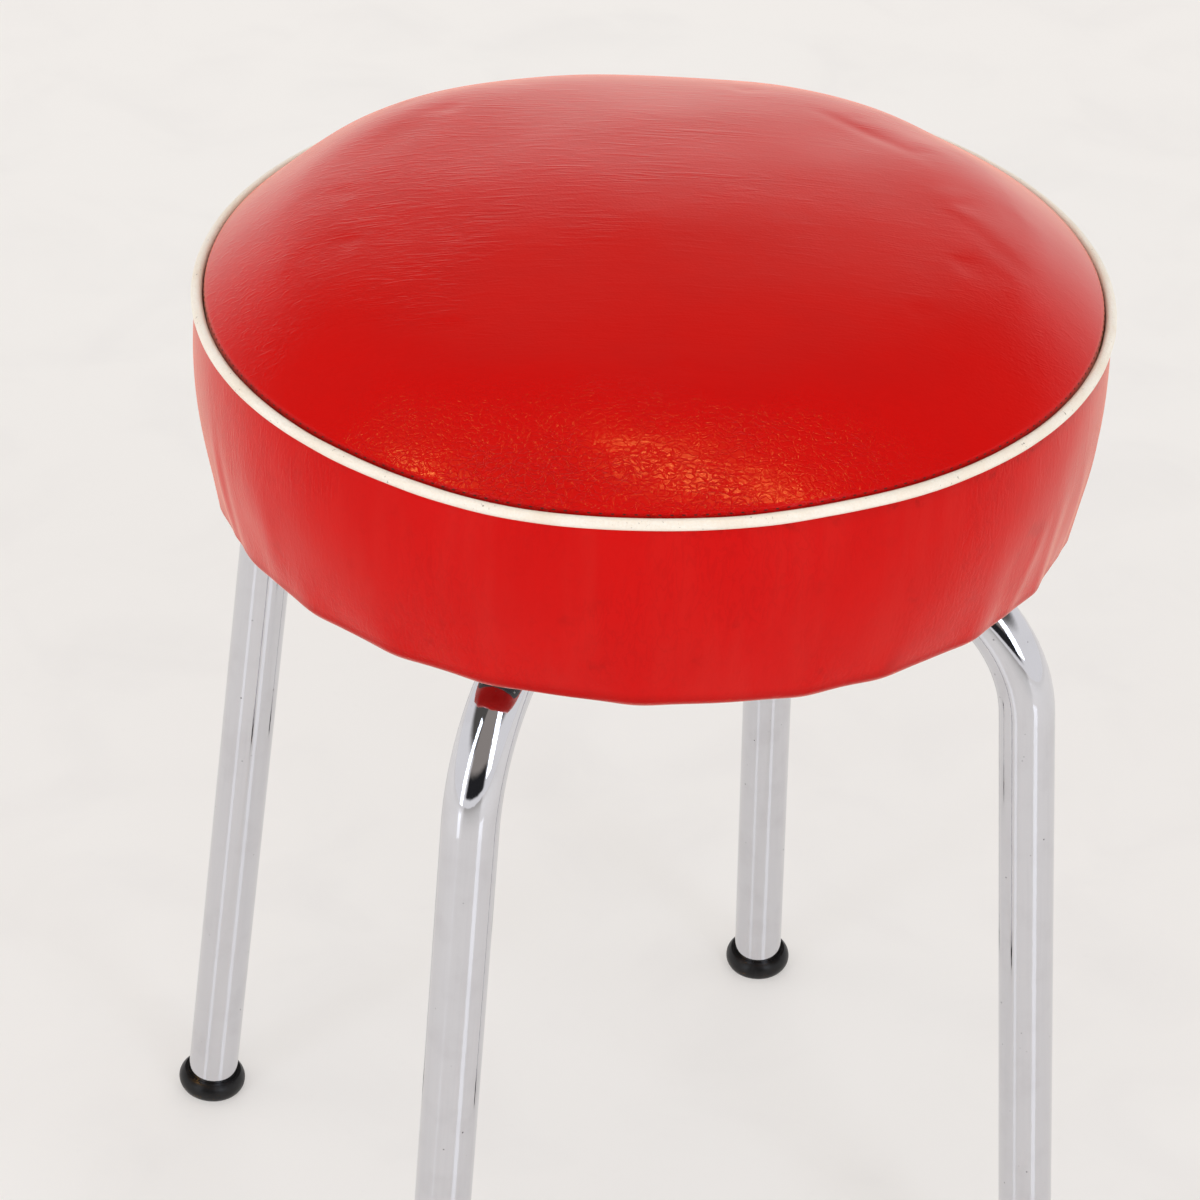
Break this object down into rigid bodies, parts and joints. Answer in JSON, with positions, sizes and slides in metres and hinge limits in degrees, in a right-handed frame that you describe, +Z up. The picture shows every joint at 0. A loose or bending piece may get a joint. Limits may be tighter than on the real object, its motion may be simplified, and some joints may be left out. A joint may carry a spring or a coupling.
{
  "type": "diner counter stool",
  "caption": "Low round stool: padded red vinyl seat with cream piping on four splayed chrome tube legs with black rubber feet.",
  "frame": {"origin": "on the floor under the middle of the seat", "axes": "+Z up, from the feet to the crown of the seat; the legs stand on the X and Y axes, front leg on -Y, right leg on +X"},
  "size_m": [0.4182, 0.4182, 0.496],
  "materials": {
    "red_vinyl": "fine crinkled grain, satin sheen",
    "cream_vinyl": "smooth, satin",
    "cord_fibre": "twisted fibre",
    "sewing_thread": "waxed thread",
    "seat_foam": "open-cell foam",
    "plywood": "bare plywood",
    "zinc_steel": "zinc plated",
    "dust_cloth": "thin black cambric",
    "chrome_tube": "polished chrome",
    "black_rubber": "moulded, slightly glossy"
  },
  "bodies": {
    "root": {"top_cover": "red_vinyl", "side_band": "red_vinyl", "piping_cover": "cream_vinyl", "piping_cord": "cord_fibre", "seam_thread": "sewing_thread", "foam_pad": "seat_foam", "seat_board": "plywood", "tee_nuts": "zinc_steel", "dust_cover": "dust_cloth", "cover_staples": "zinc_steel", "dust_cover_staples": "zinc_steel", "front_back_tube": "chrome_tube", "right_tube": "chrome_tube", "left_tube": "chrome_tube", "frame_welds": "chrome_tube", "saddle_washers": "zinc_steel", "frame_screws": "zinc_steel", "foot_front": "black_rubber", "foot_right": "black_rubber", "foot_back": "black_rubber", "foot_left": "black_rubber"}
  },
  "joints": []
}
